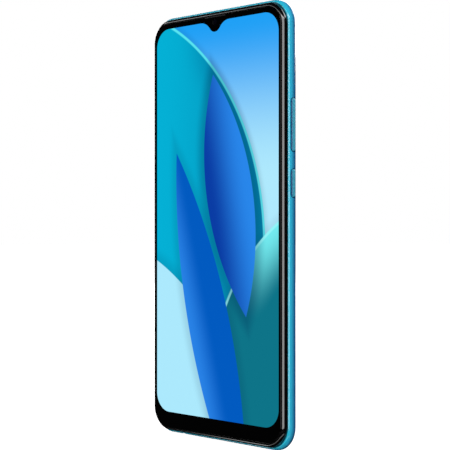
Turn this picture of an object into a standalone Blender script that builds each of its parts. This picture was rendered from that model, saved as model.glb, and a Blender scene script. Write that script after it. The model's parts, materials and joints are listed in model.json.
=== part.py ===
"""Smartphone: 6.5-inch touch-screen phone with a drop notch, standing upright on its bottom edge.

World axes: +Z runs to the earpiece end, the screen looks along -Y, and +X is the side of the keys.
Sizes below are in millimetres. A depth is measured back from the front glass.
"""

import math

import bmesh
import bpy

MM = 0.001

# Body
BODY_HALF_WIDTH = 37.5
BODY_HALF_HEIGHT = 82.0
BODY_THICKNESS = 7.85
CAMERA_BUMP = 1.45
FRONT_Y = -(BODY_THICKNESS + CAMERA_BUMP) / 2
BODY_CORNER = 9.25
WIDEST_DEPTH = 4.45
BACK_CURVE_WIDTH = 10.5
END_CURVE_SHARE = 0.45
CORNER_SHARE = 0.4
WALL = 0.9

# Front ring, which frames the glass
RING_INSET = 1.15
RING_HALF_WIDTH = BODY_HALF_WIDTH - RING_INSET
RING_HALF_HEIGHT = BODY_HALF_HEIGHT - 1.35
RING_CORNER = 8.8
RING_ROUND_WIDTH = 1.1
RING_ROUND_DEPTH = 0.9
RING_BACK_DEPTH = 1.95
LIP_DEPTH = 2.1
GLASS_INSET = 1.4
GLASS_THICKNESS = 0.65

# Mid frame
LEDGE_INSET = 1.9
LEDGE_DEPTH = 0.85
PLATE_FRONT = 2.7
PLATE_BACK = 3.2
RIM_INSET = 1.15
RIM_WALL = 1.0
RIM_BACK = 5.0

# Display, front camera and earpiece
ADHESIVE_FRONT, ADHESIVE_BACK = 0.7, 0.8
PANEL_HALF_WIDTH = 34.2
PANEL_TOP = 77.9
PANEL_BOTTOM = -77.0
PANEL_CORNER = 6.9
PANEL_FRONT, PANEL_BACK = 0.9, 1.75
BACKLIGHT_FRONT, BACKLIGHT_BACK = 1.9, 2.4
FRONT_CAMERA_Z = 76.8
EARPIECE_Z = 78.9
EARPIECE_HALF_WIDTH = 6.0

# Side keys, on the +X side
KEY_DEPTH = 4.0
KEY_HALF_BREADTH = 0.95
KEY_FACE_X = BODY_HALF_WIDTH + 0.15
KEY_PIVOT_X = 36.0
KEY_GAP = 0.2
VOLUME_Z = 36.0
VOLUME_HALF_LENGTH = 9.5
POWER_Z = 15.0
POWER_HALF_LENGTH = 5.0
SWITCH_OFFSET = 6.0

# Card tray, on the -X side
TRAY_FRONT, TRAY_BACK = 4.17, 5.13
TRAY_LOW, TRAY_HIGH = 41.2, 54.0
TRAY_INNER_END = 6.7
DOOR_FRONT, DOOR_BACK = 3.5, 5.7
DOOR_LOW, DOOR_HIGH = 37.6, 54.4
DOOR_GAP = 0.15
EJECT_ROD_Z = 38.9
EJECT_ROD_DEPTH = 4.65
EJECT_ROD_START, EJECT_ROD_END = -34.6, 8.9
LEVER_X, LEVER_Z = 9.7, 44.0
LEVER_HALF_LENGTH = 5.9

# Boards, bracket and ports
BOARD_FRONT, BOARD_BACK = 3.35, 3.9
SHIELD_FRONT, SHIELD_BACK = 4.0, 5.4
BRACKET_FRONT, BRACKET_BACK = 5.65, 6.25
PORT_DEPTH = 4.6
JACK_X = -21.0
MIC_X = -10.0
SPEAKER_HOLES_X = (13.0, 15.6, 18.2, 20.8, 23.4, 26.0)
SPEAKER_X, SPEAKER_Z = 19.4, -67.0
SPEAKER_FRONT, SPEAKER_BACK = 4.15, 6.3

# Battery
BATTERY_Z = -7.9
BATTERY_HALF_WIDTH, BATTERY_HALF_HEIGHT = 29.5, 41.9
BATTERY_FRONT, BATTERY_BACK = 3.4, 6.45

# Rear cameras: centre x, centre z, lens window radius
ISLAND_X, ISLAND_Z = 15.5, 53.0
ISLAND_HALF_WIDTH, ISLAND_HALF_HEIGHT = 9.8, 17.0
ISLAND_CORNER = 6.0
ISLAND_GAP = 0.15
ISLAND_FLANGE = 0.8
ISLAND_TOP = BODY_THICKNESS + 1.2
CAMERA_FRONT = 3.4
MAIN_CAMERA = (18.5, 61.5, 4.0)
MACRO_CAMERA = (18.5, 49.6, 2.7)
DEPTH_CAMERA = (18.5, 41.2, 2.2)
FLASH = (10.2, 61.5, 1.9)

# Vibration motor
MOTOR_X, MOTOR_Z = -27.5, -60.5

# Fasteners: centre x, centre z
BRACKET_SCREWS = ((-28.5, 72.6), (9.2, 74.0), (28.4, 71.8), (29.0, 56.5), (29.0, 41.5))
SPEAKER_SCREWS = ((10.2, -59.2), (28.8, -59.2))
SUB_BOARD_SCREW = (-13.5, -58.0)
SCREW_HEAD_RADIUS = 1.2
SCREW_HEAD_HEIGHT = 0.35
SCREW_SHANK_RADIUS = 0.55
SCREW_HOLE_RADIUS = 0.85
SCREW_GAP = 0.05
BOSS_RADIUS = 1.6
BOSS_CLEARANCE_RADIUS = 1.9

LOOKS = {
    "front_glass": ((0.004, 0.004, 0.005), 0.04, 0.0),
    "black_frame": ((0.010, 0.010, 0.012), 0.22, 0.0),
    "blue_shell": ((0.010, 0.330, 0.640), 0.12, 0.25),
    "key_blue": ((0.012, 0.300, 0.560), 0.20, 0.25),
    "panel": ((0.020, 0.240, 0.420), 0.30, 0.0),
    "steel": ((0.560, 0.570, 0.580), 0.28, 1.0),
    "circuit_board": ((0.012, 0.075, 0.050), 0.45, 0.0),
    "battery_wrap": ((0.055, 0.057, 0.062), 0.50, 0.0),
    "flex_film": ((0.260, 0.110, 0.025), 0.40, 0.0),
    "black_plastic": ((0.018, 0.018, 0.020), 0.55, 0.0),
    "lens_glass": ((0.006, 0.008, 0.016), 0.03, 0.0),
    "flash_yellow": ((0.880, 0.760, 0.340), 0.25, 0.0),
    "graphite": ((0.070, 0.070, 0.075), 0.60, 0.2),
    "adhesive": ((0.030, 0.030, 0.030), 0.80, 0.0),
    "brass": ((0.720, 0.520, 0.210), 0.30, 1.0),
}


def clear_scene():
    for item in list(bpy.data.objects):
        bpy.data.objects.remove(item, do_unlink=True)


def make_looks():
    made = {}
    for name, (colour, roughness, metallic) in LOOKS.items():
        material = bpy.data.materials.new(name)
        material.use_nodes = True
        shader = material.node_tree.nodes["Principled BSDF"]
        shader.inputs["Base Color"].default_value = (*colour, 1.0)
        shader.inputs["Roughness"].default_value = roughness
        shader.inputs["Metallic"].default_value = metallic
        made[name] = material
    return made


def rounded(half_a, half_b, radius, steps=6, centre=(0.0, 0.0)):
    """Outline of a rectangle with round corners, as points in order."""
    points = []
    for quarter, (sign_a, sign_b) in enumerate(((1, 1), (-1, 1), (-1, -1), (1, -1))):
        corner_a = centre[0] + sign_a * (half_a - radius)
        corner_b = centre[1] + sign_b * (half_b - radius)
        for step in range(steps + 1):
            angle = math.radians(90 * (quarter + step / steps))
            points.append((corner_a + radius * math.cos(angle), corner_b + radius * math.sin(angle)))
    return points


def rectangle(low_a, high_a, low_b, high_b):
    return [(high_a, low_b), (high_a, high_b), (low_a, high_b), (low_a, low_b)]


def circle(radius, centre=(0.0, 0.0), sides=24):
    turns = [2 * math.pi * side / sides for side in range(sides)]
    return [(centre[0] + radius * math.cos(turn), centre[1] + radius * math.sin(turn)) for turn in turns]


def point_on(along, a, b, distance):
    """World point of outline point (a, b) at a distance along the extrusion.

    Along Y the outline is (x, z), along Z it is (x, depth) and along X it is (z, depth)."""
    if along == "Y":
        return (a, FRONT_Y + distance, b)
    if along == "Z":
        return (a, FRONT_Y + b, distance)
    return (distance, FRONT_Y + b, a)


def loft(name, look, sections, along="Y", closed=False, origin=(0.0, 0.0, 0.0)):
    """One body through outlines of equal point count; closed joins the last to the first."""
    shape = bmesh.new()
    rings = []
    for outline, distance in sections:
        ring = []
        for a, b in outline:
            world = point_on(along, a, b, distance)
            ring.append(shape.verts.new([(world[i] - origin[i]) * MM for i in range(3)]))
        rings.append(ring)
    pairs = list(zip(rings, rings[1:]))
    if closed:
        pairs.append((rings[-1], rings[0]))
    else:
        shape.faces.new(rings[0])
        shape.faces.new(rings[-1])
    for near, far in pairs:
        for i in range(len(near)):
            j = (i + 1) % len(near)
            shape.faces.new((near[i], near[j], far[j], far[i]))
    bmesh.ops.recalc_face_normals(shape, faces=shape.faces)
    mesh = bpy.data.meshes.new(name)
    shape.to_mesh(mesh)
    shape.free()
    mesh.materials.append(MADE_LOOKS[look])
    mesh.shade_smooth()
    mesh.set_sharp_from_angle(angle=math.radians(32))
    item = bpy.data.objects.new(name, mesh)
    item.location = [value * MM for value in origin]
    bpy.context.scene.collection.objects.link(item)
    return item


def prism(name, look, outline, start, end, along="Y", origin=(0.0, 0.0, 0.0)):
    return loft(name, look, [(outline, start), (outline, end)], along, origin=origin)


def block(name, look, width, depth, height, origin=(0.0, 0.0, 0.0)):
    """Box from (low, high) pairs in x, in depth and in z."""
    return prism(name, look, rectangle(*width, *height), depth[0], depth[1], origin=origin)


def turned(name, look, profile, centre, sides=24, origin=(0.0, 0.0, 0.0), closed=False):
    """Round piece about a Y axis, from (radius, depth) pairs."""
    sections = [(circle(radius, centre, sides), depth) for radius, depth in profile]
    return loft(name, look, sections, origin=origin, closed=closed)


def hide_tool(tool):
    tool.hide_render = True
    tool.display_type = "WIRE"


def combine(item, tool, operation):
    modifier = item.modifiers.new(tool.name, "BOOLEAN")
    modifier.operation = operation
    modifier.solver = "EXACT"
    modifier.object = tool
    hide_tool(tool)


def cut(item, tool):
    combine(item, tool, "DIFFERENCE")


def join(item, tool):
    combine(item, tool, "UNION")


def cut_box(item, label, width, depth, height):
    cut(item, block(f"tool_{item.name}_{label}", "black_plastic", width, depth, height))


def cut_bore(item, label, centre, radius, start, end, along="Y", sides=24):
    tool_name = f"tool_{item.name}_{label}"
    cut(item, prism(tool_name, "black_plastic", circle(radius, centre, sides), start, end, along))


def body_section(inset, depth, thinner=0.0, end_share=1.0):
    """Outline of the shell where it has drawn in from its widest line."""
    half_width = BODY_HALF_WIDTH - inset - thinner
    half_height = BODY_HALF_HEIGHT - inset * end_share - thinner
    return rounded(half_width, half_height, BODY_CORNER - CORNER_SHARE * inset - thinner, 8), depth


def front_curve(steps, thinner):
    """Sections from the lip back to the widest line, a quarter of an ellipse."""
    sections = []
    for step in range(steps):
        turn = math.radians(90 * step / steps)
        inset = RING_INSET * (1 - math.sin(turn))
        depth = WIDEST_DEPTH - (WIDEST_DEPTH - LIP_DEPTH) * math.cos(turn)
        sections.append(body_section(inset, depth, thinner))
    return sections


def back_curve(steps, back_depth, thinner):
    """Sections from the widest line to the flat back, a quarter of an ellipse."""
    sections = []
    for step in range(steps + 1):
        turn = math.radians(90 * step / steps)
        inset = BACK_CURVE_WIDTH * (1 - math.cos(turn))
        depth = WIDEST_DEPTH + (back_depth - WIDEST_DEPTH) * math.sin(turn)
        sections.append(body_section(inset, depth, thinner, END_CURVE_SHARE))
    return sections


def shell_half_width(depth):
    """Half width of the outside of the rear cover at a depth behind its widest line."""
    rise = (depth - WIDEST_DEPTH) / (BODY_THICKNESS - WIDEST_DEPTH)
    return BODY_HALF_WIDTH - BACK_CURVE_WIDTH * (1 - math.sqrt(1 - rise * rise))


def front_half_width(depth):
    """Half width of the outside of the rear cover at a depth before its widest line."""
    rise = (WIDEST_DEPTH - depth) / (WIDEST_DEPTH - LIP_DEPTH)
    return BODY_HALF_WIDTH - RING_INSET * (1 - math.sqrt(1 - rise * rise))


def ring_section(inset, depth):
    """Outline offset inwards from the outside wall of the front ring."""
    half_width = RING_HALF_WIDTH - inset
    return rounded(half_width, RING_HALF_HEIGHT - inset, RING_CORNER - inset, 8), depth


def key_slot(item, label, centre_z, half_length):
    half_breadth = KEY_HALF_BREADTH + 0.15
    outline = rounded(half_length + KEY_GAP, half_breadth, half_breadth - 0.05, 5, (centre_z, KEY_DEPTH))
    cut(item, prism(f"tool_{item.name}_{label}", "black_plastic", outline, 34.0, 40.0, "X"))


def make_rear_cover():
    outside = front_curve(4, 0.0) + back_curve(7, BODY_THICKNESS, 0.0)
    inside = front_curve(3, WALL) + back_curve(6, BODY_THICKNESS - WALL, WALL)
    cover = loft("rear_cover", "blue_shell", list(reversed(inside)) + outside)
    outline = rounded(ISLAND_HALF_WIDTH + ISLAND_GAP, ISLAND_HALF_HEIGHT + ISLAND_GAP,
                      ISLAND_CORNER + ISLAND_GAP, 5, (ISLAND_X, ISLAND_Z))
    cut(cover, prism("tool_island_opening", "black_plastic", outline, 6.0, 9.0))
    key_slot(cover, "volume", VOLUME_Z, VOLUME_HALF_LENGTH)
    key_slot(cover, "power", POWER_Z, POWER_HALF_LENGTH)
    door = rounded((DOOR_HIGH - DOOR_LOW) / 2 + DOOR_GAP, (DOOR_BACK - DOOR_FRONT) / 2 + DOOR_GAP, 0.3, 3,
                   ((DOOR_HIGH + DOOR_LOW) / 2, (DOOR_BACK + DOOR_FRONT) / 2))
    cut(cover, prism("tool_tray_opening", "black_plastic", door, -40.0, -33.0, "X"))
    port = rounded(4.65, 1.78, 1.74, 6, (0.0, PORT_DEPTH))
    cut(cover, prism("tool_port_opening", "black_plastic", port, -84.0, -76.0, "Z"))
    cut_bore(cover, "jack", (JACK_X, PORT_DEPTH), 2.2, -84.0, -76.0, "Z")
    cut_bore(cover, "mic", (MIC_X, PORT_DEPTH), 0.5, -84.0, -79.0, "Z", 10)
    for number, hole_x in enumerate(SPEAKER_HOLES_X):
        cut_bore(cover, f"speaker_{number}", (hole_x, PORT_DEPTH), 0.65, -84.0, -79.0, "Z", 10)
    return cover


def make_mid_frame():
    arc = []
    for step in range(5):
        turn = math.radians(90 * step / 4)
        inset = RING_ROUND_WIDTH * (1 - math.sin(turn))
        arc.append(ring_section(inset, RING_ROUND_DEPTH * (1 - math.cos(turn))))
    glass_side = GLASS_INSET - 0.2
    sections = [ring_section(LEDGE_INSET, PLATE_FRONT), ring_section(LEDGE_INSET, LEDGE_DEPTH),
                ring_section(glass_side, LEDGE_DEPTH), ring_section(glass_side, 0.0)]
    sections += arc
    sections += [ring_section(0.0, RING_BACK_DEPTH), ring_section(RIM_INSET, RING_BACK_DEPTH),
                 ring_section(RIM_INSET, RIM_BACK), ring_section(RIM_INSET + RIM_WALL, RIM_BACK),
                 ring_section(RIM_INSET + RIM_WALL, PLATE_BACK)]
    frame = loft("mid_frame", "black_frame", sections)
    for number, centre in enumerate(BRACKET_SCREWS + SPEAKER_SCREWS):
        top = BRACKET_FRONT - 0.15 if centre in BRACKET_SCREWS else BOARD_BACK + 0.05
        profile = [(BOSS_RADIUS, 2.95), (BOSS_RADIUS, top),
                   (SCREW_HOLE_RADIUS, top), (SCREW_HOLE_RADIUS, 2.95)]
        join(frame, turned(f"tool_boss_{number}", "black_frame", profile, centre, 12, closed=True))
    cut_bore(frame, "sub_screw", SUB_BOARD_SCREW, SCREW_HOLE_RADIUS, 2.0, 4.0, sides=12)
    cut_bore(frame, "camera", (0.0, FRONT_CAMERA_Z), 2.5, 0.5, 4.0)
    cut_box(frame, "camera_module", (-3.5, 3.5), (2.3, 5.5), (73.4, 78.45))
    cut_box(frame, "sound_duct", (-8.0, -4.5), (2.3, 3.5), (76.4, 78.2))
    for label, centre_z, half in (("volume", VOLUME_Z, VOLUME_HALF_LENGTH + 1.5),
                                  ("power", POWER_Z, POWER_HALF_LENGTH + 1.4)):
        cut_box(frame, label, (33.3, 36.0), (3.0, 5.6), (centre_z - half, centre_z + half))
    cut_box(frame, "tray", (-36.0, -33.3), (3.25, 5.6), (EJECT_ROD_Z - 0.9, DOOR_HIGH + 0.3))
    cut_box(frame, "port", (-4.9, 4.9), (2.5, 6.0), (-80.0, -72.0))
    cut_box(frame, "jack", (JACK_X - 3.6, JACK_X + 3.6), (2.5, 6.0), (-80.0, -66.8))
    cut_box(frame, "mic", (MIC_X - 1.0, MIC_X + 1.0), (4.0, 6.0), (-80.0, -78.0))
    cut_box(frame, "speaker", (11.5, 27.5), (3.9, 6.0), (-80.0, -78.0))
    cut_box(frame, "display_flex", (-15.4, -5.6), (2.3, 3.6), (-78.3, -77.2))
    return frame


def make_display():
    glass = [ring_section(GLASS_INSET + 0.12, 0.0), ring_section(GLASS_INSET, 0.14),
             ring_section(GLASS_INSET, GLASS_THICKNESS)]
    cover_glass = loft("cover_glass", "front_glass", glass)
    cut_box(cover_glass, "earpiece", (-EARPIECE_HALF_WIDTH, EARPIECE_HALF_WIDTH), (-0.5, 1.0),
            (EARPIECE_Z - 0.35, 80.0))
    outer, inner = GLASS_INSET + 0.05, LEDGE_INSET - 0.02
    strip = [ring_section(outer, ADHESIVE_FRONT), ring_section(outer, ADHESIVE_BACK),
             ring_section(inner, ADHESIVE_BACK), ring_section(inner, ADHESIVE_FRONT)]
    loft("display_adhesive", "adhesive", strip, closed=True)
    middle = (PANEL_TOP + PANEL_BOTTOM) / 2
    half_height = (PANEL_TOP - PANEL_BOTTOM) / 2
    outline = rounded(PANEL_HALF_WIDTH, half_height, PANEL_CORNER, 6, (0.0, middle))
    panel = prism("display_panel", "panel", outline, PANEL_FRONT, PANEL_BACK)
    inner = rounded(PANEL_HALF_WIDTH - 0.3, half_height - 0.4, PANEL_CORNER - 0.5, 6, (0.0, middle))
    backlight = prism("backlight_unit", "steel", inner, BACKLIGHT_FRONT, BACKLIGHT_BACK)
    for sheet, radius in ((panel, 3.3), (backlight, 3.6)):
        cut_bore(sheet, "notch", (0.0, FRONT_CAMERA_Z), radius, 0.0, 3.0)
        cut_box(sheet, "notch_mouth", (0.2 - radius, radius - 0.2), (0.0, 3.0), (77.0, 80.0))
    flex = [(-77.15, 1.2), (-77.9, 1.2), (-77.9, 3.25), (-77.7, 3.25), (-77.7, 1.4), (-77.15, 1.4)]
    prism("display_flex", "flex_film", flex, -14.8, -6.2, "X")


def make_front_camera_and_earpiece():
    camera = block("front_camera", "black_plastic", (-3.1, 3.1), (2.6, 5.3), (73.7, 78.2))
    barrel = turned("tool_front_barrel", "black_plastic", [(2.0, 1.1), (2.0, 3.0)], (0.0, FRONT_CAMERA_Z))
    join(camera, barrel)
    turned("front_camera_lens", "lens_glass", [(1.4, 0.72), (1.4, 0.95)], (0.0, FRONT_CAMERA_Z), 20)
    block("earpiece_receiver", "black_plastic", (-14.6, -4.2), (3.35, 5.4), (72.4, 78.1))
    outline = rounded(EARPIECE_HALF_WIDTH - 0.2, 0.27, 0.26, 3, (0.0, EARPIECE_Z))
    prism("earpiece_mesh", "steel", outline, 0.12, 0.6)


def board_outline():
    """Main board: a wide field, a leg down the key side, and notches for the cameras and receiver."""
    return [(-33.4, 38.1), (13.3, 38.1), (13.3, 67.2), (24.6, 67.2), (24.6, 38.1), (33.2, 38.1),
            (33.2, 71.5), (28.0, 76.6), (4.3, 76.6), (4.3, 71.9), (-15.2, 71.9), (-15.2, 76.6),
            (-28.4, 76.6), (-33.4, 71.5)]


def make_main_board():
    board = prism("main_board", "circuit_board", board_outline(), BOARD_FRONT, BOARD_BACK)
    for number, centre in enumerate(BRACKET_SCREWS):
        cut_bore(board, f"hole_{number}", centre, BOSS_CLEARANCE_RADIUS, 3.0, 4.5, sides=12)
    for side, half_width, centre_x in (("left", 9.6, -21.6), ("right", 8.2, -2.4)):
        outline = rounded(half_width, 6.9, 0.8, 3, (centre_x, 63.3))
        prism(f"shield_can_{side}", "steel", outline, SHIELD_FRONT, SHIELD_BACK)
    turned("flash_led", "flash_yellow", [(1.4, 4.0), (1.4, 6.3)], FLASH[:2], 16)


def make_card_reader():
    reader = block("sim_reader", "steel", (-33.0, 8.6), (3.98, 5.32), (40.6, 54.6))
    cut_box(reader, "pocket", (-35.0, 10.0), (4.10, 5.20), (40.95, 54.25))
    curve = [DOOR_FRONT + (DOOR_BACK - DOOR_FRONT) * step / 6 for step in range(7)]
    face = []
    for depth in curve:
        half = front_half_width(depth) if depth < WIDEST_DEPTH else shell_half_width(depth)
        face.append((0.03 - half, depth))
    door_outline = face + [(-35.6, DOOR_BACK), (-35.6, DOOR_FRONT)]
    tray = prism("sim_tray", "key_blue", door_outline, DOOR_LOW, DOOR_HIGH, "Z")
    plate = block("tool_tray_plate", "key_blue", (-35.9, TRAY_INNER_END), (TRAY_FRONT, TRAY_BACK),
                  (TRAY_LOW, TRAY_HIGH))
    join(tray, plate)
    middle = (TRAY_LOW + TRAY_HIGH) / 2
    for number, (low, high, half) in enumerate(((-33.0, -22.0, 4.2), (-20.0, -9.0, 4.2), (-7.0, 5.0, 5.4))):
        cut_box(tray, f"card_{number}", (low, high), (3.9, 5.4), (middle - half, middle + half))
    cut_bore(tray, "eject_hole", (EJECT_ROD_Z, EJECT_ROD_DEPTH), 0.45, -39.0, -35.0, "X", 12)
    block("eject_rod", "steel", (EJECT_ROD_START, EJECT_ROD_END),
          (EJECT_ROD_DEPTH - 0.4, EJECT_ROD_DEPTH + 0.4), (EJECT_ROD_Z - 0.4, EJECT_ROD_Z + 0.4),
          origin=(EJECT_ROD_START, FRONT_Y + EJECT_ROD_DEPTH, EJECT_ROD_Z))
    lever_outline = rounded(0.5, LEVER_HALF_LENGTH, 0.45, 3, (LEVER_X, LEVER_Z))
    pivot = (LEVER_X, FRONT_Y + EJECT_ROD_DEPTH, LEVER_Z)
    lever = prism("eject_lever", "steel", lever_outline, 4.3, 5.0, origin=pivot)
    hub = turned("tool_lever_hub", "steel", [(1.2, 4.3), (1.2, 5.0)], (LEVER_X, LEVER_Z), 16)
    join(lever, hub)
    cut_bore(lever, "pivot", (LEVER_X, LEVER_Z), 0.7, 4.0, 6.0, sides=16)
    turned("lever_pivot_pin", "steel", [(0.5, 4.0), (0.5, 5.3)], (LEVER_X, LEVER_Z), 16)


def make_rear_cameras():
    x, z, window = MAIN_CAMERA
    housing = block("main_camera_housing", "black_plastic", (x - 4.7, x + 4.7), (CAMERA_FRONT, 6.3),
                    (z - 4.7, z + 4.7))
    cut_bore(housing, "bore", (x, z), 3.4, 4.1, 7.0)
    turned("main_camera_barrel", "black_plastic", [(3.1, 4.4), (3.1, 7.3), (2.7, 7.6)], (x, z),
           origin=(x, FRONT_Y + 4.4, z))
    for name, (cam_x, cam_z, radius), half in (("macro_camera", MACRO_CAMERA, 3.3),
                                               ("depth_camera", DEPTH_CAMERA, 2.9)):
        module = block(name, "black_plastic", (cam_x - half, cam_x + half), (CAMERA_FRONT, 6.0),
                       (cam_z - half, cam_z + half))
        barrel = [(radius - 0.7, 5.6), (radius - 0.7, 7.4)]
        join(module, turned(f"tool_{name}_barrel", "black_plastic", barrel, (cam_x, cam_z), 20))
    make_island()
    for name, (cam_x, cam_z, radius) in (("main_lens_window", MAIN_CAMERA),
                                         ("macro_lens_window", MACRO_CAMERA),
                                         ("depth_lens_window", DEPTH_CAMERA),
                                         ("flash_window", FLASH)):
        top = ISLAND_TOP - 0.05 if name == "flash_window" else ISLAND_TOP + 0.1
        look = "flash_yellow" if name == "flash_window" else "lens_glass"
        turned(name, look, [(radius, top - 0.6), (radius, top)], (cam_x, cam_z), 20)


def make_island():
    centre = (ISLAND_X, ISLAND_Z)

    def section(inset, depth):
        half_width, half_height = ISLAND_HALF_WIDTH - inset, ISLAND_HALF_HEIGHT - inset
        return rounded(half_width, half_height, ISLAND_CORNER - inset, 5, centre), depth

    island = loft("camera_island", "black_plastic", [
        section(-ISLAND_FLANGE, 6.45), section(-ISLAND_FLANGE, 6.75), section(0.0, 6.75), section(0.0, 8.75),
        section(0.3, ISLAND_TOP)])
    for name, (x, z, radius) in (("main", MAIN_CAMERA), ("macro", MACRO_CAMERA), ("depth", DEPTH_CAMERA)):
        collar = [(radius + 1.0, 8.5), (radius + 1.0, BODY_THICKNESS + CAMERA_BUMP)]
        join(island, turned(f"tool_{name}_collar", "black_plastic", collar, (x, z)))
    for name, (x, z, radius) in (("main", MAIN_CAMERA), ("macro", MACRO_CAMERA), ("depth", DEPTH_CAMERA),
                                 ("flash", FLASH)):
        cut_bore(island, f"{name}_seat", (x, z), radius + 0.15, 8.4, 10.0)
        cut_bore(island, f"{name}_bore", (x, z), radius - 0.4, 6.0, 9.0)


def make_battery():
    cell = rounded(BATTERY_HALF_WIDTH, BATTERY_HALF_HEIGHT, 1.6, 3, (0.0, BATTERY_Z))
    prism("battery", "battery_wrap", cell, BATTERY_FRONT, BATTERY_BACK)
    block("battery_board", "circuit_board", (-26.0, 26.0), (3.6, 5.0), (34.4, 37.4))
    block("battery_pull_tab", "adhesive", (-6.0, 6.0), (3.4, 3.55), (-53.2, -50.2))
    block("main_flex", "flex_film", (30.2, 33.0), (3.35, 3.5), (-53.0, 37.6))
    outline = rounded(16.0, 10.0, 1.0, 2, (-12.0, 62.5))
    prism("graphite_sheet", "graphite", outline, 6.6, 6.7)


def make_side_keys():
    block("side_key_flex", "flex_film", (33.45, 33.65), (3.3, 4.9), (8.6, 47.0))
    for name, switch_z in (("volume_up_switch", VOLUME_Z + SWITCH_OFFSET),
                           ("volume_down_switch", VOLUME_Z - SWITCH_OFFSET), ("power_switch", POWER_Z)):
        block(name, "steel", (33.75, 34.7), (KEY_DEPTH - 0.8, KEY_DEPTH + 0.8),
              (switch_z - 1.7, switch_z + 1.7))
    for name, centre_z, half, nubs in (("volume_rocker", VOLUME_Z, VOLUME_HALF_LENGTH, (-1, 1)),
                                       ("power_key", POWER_Z, POWER_HALF_LENGTH, (0,))):
        centre = (centre_z, KEY_DEPTH)
        flange = rounded(half + 0.7, KEY_HALF_BREADTH - 0.1, 0.6, 4, centre)
        cap = rounded(half, KEY_HALF_BREADTH, KEY_HALF_BREADTH - 0.05, 4, centre)
        crown = rounded(half - 0.25, KEY_HALF_BREADTH - 0.25, KEY_HALF_BREADTH - 0.3, 4, centre)
        sections = [(flange, 35.3), (flange, 35.75), (cap, 35.75), (cap, KEY_FACE_X - 0.2),
                    (crown, KEY_FACE_X)]
        origin = (KEY_PIVOT_X, FRONT_Y + KEY_DEPTH, centre_z)
        key = loft(name, "key_blue", sections, "X", origin=origin)
        for side in nubs:
            nub_z = centre_z + side * SWITCH_OFFSET
            join(key, block(f"tool_{name}_nub_{side + 1}", "key_blue", (35.0, 35.5),
                            (KEY_DEPTH - 0.5, KEY_DEPTH + 0.5), (nub_z - 0.6, nub_z + 0.6)))


def make_upper_bracket():
    outline = [(-29.6, 40.0), (12.6, 40.0), (12.6, 67.6), (24.8, 67.6), (24.8, 38.6), (30.8, 38.6),
               (30.8, 70.0), (26.0, 75.4), (-26.0, 75.4), (-30.8, 70.0), (-30.8, 41.2)]
    bracket = prism("upper_bracket", "black_plastic", outline, BRACKET_FRONT, BRACKET_BACK)
    for number, centre in enumerate(BRACKET_SCREWS):
        cut_bore(bracket, f"hole_{number}", centre, SCREW_HOLE_RADIUS, 5.0, 7.0, sides=12)
    cut_bore(bracket, "flash", FLASH[:2], 1.8, 5.0, 7.0, sides=16)


def make_bottom_assembly():
    outline = [(-32.6, -54.4), (-33.2, -71.0), (-27.6, -76.9), (-24.9, -76.9), (-24.9, -66.6), (-17.1, -66.6),
               (-17.1, -76.9), (-5.2, -76.9), (-5.2, -72.6), (5.2, -72.6), (5.2, -76.9), (27.6, -76.9),
               (33.2, -71.0), (32.6, -54.4)]
    board = prism("sub_board", "circuit_board", outline, BOARD_FRONT, BOARD_BACK)
    for number, centre in enumerate(SPEAKER_SCREWS + (SUB_BOARD_SCREW,)):
        radius = BOSS_CLEARANCE_RADIUS if centre in SPEAKER_SCREWS else SCREW_HOLE_RADIUS
        cut_bore(board, f"hole_{number}", centre, radius, 3.0, 4.5, sides=12)
    make_usb_port()
    jack_body = ((JACK_X - 3.2, JACK_X + 3.2), (2.6, 6.55), (-78.3, -67.4))
    jack = block("headphone_jack", "black_plastic", *jack_body)
    nose = prism("tool_jack_nose", "black_plastic", circle(1.98, (JACK_X, PORT_DEPTH)), -81.3, -77.5, "Z")
    join(jack, nose)
    cut_bore(jack, "bore", (JACK_X, PORT_DEPTH), 1.75, -83.0, -68.5, "Z")
    block("bottom_microphone", "steel", (MIC_X - 1.4, MIC_X + 1.4), (4.0, 5.0), (-76.6, -74.6))
    make_loudspeaker()
    make_motor()


def make_usb_port():
    centre = (0.0, PORT_DEPTH)
    shell = prism("usb_c_shell", "steel", rounded(4.47, 1.60, 1.56, 6, centre), -81.5, -73.6, "Z")
    cut(shell, prism("tool_port_mouth", "steel", rounded(4.17, 1.28, 1.24, 6, centre), -83.0, -74.8, "Z"))
    block("usb_c_tongue", "black_plastic", (-3.35, 3.35), (PORT_DEPTH - 0.35, PORT_DEPTH + 0.35),
          (-80.6, -74.95))


def make_loudspeaker():
    outline = rounded(11.2, 9.9, 1.2, 3, (SPEAKER_X, SPEAKER_Z))
    box = prism("loudspeaker_box", "black_plastic", outline, SPEAKER_FRONT, SPEAKER_BACK)
    cut_box(box, "chamber", (12.5, 26.5), (4.0, 5.85), (-72.0, -62.0))
    cut_box(box, "sound_port", (14.5, 24.5), (4.6, 5.5), (-78.0, -71.0))
    for number, centre in enumerate(SPEAKER_SCREWS):
        cut_bore(box, f"hole_{number}", centre, SCREW_HOLE_RADIUS, 4.0, 7.0, sides=12)
    prism("speaker_driver", "steel", rounded(6.6, 4.6, 1.0, 3, (SPEAKER_X, SPEAKER_Z)), 4.3, 4.8)
    prism("speaker_diaphragm", "black_plastic", rounded(6.2, 4.2, 1.4, 4, (SPEAKER_X, SPEAKER_Z)), 5.2, 5.4,
          origin=(SPEAKER_X, FRONT_Y + 5.3, SPEAKER_Z))


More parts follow.
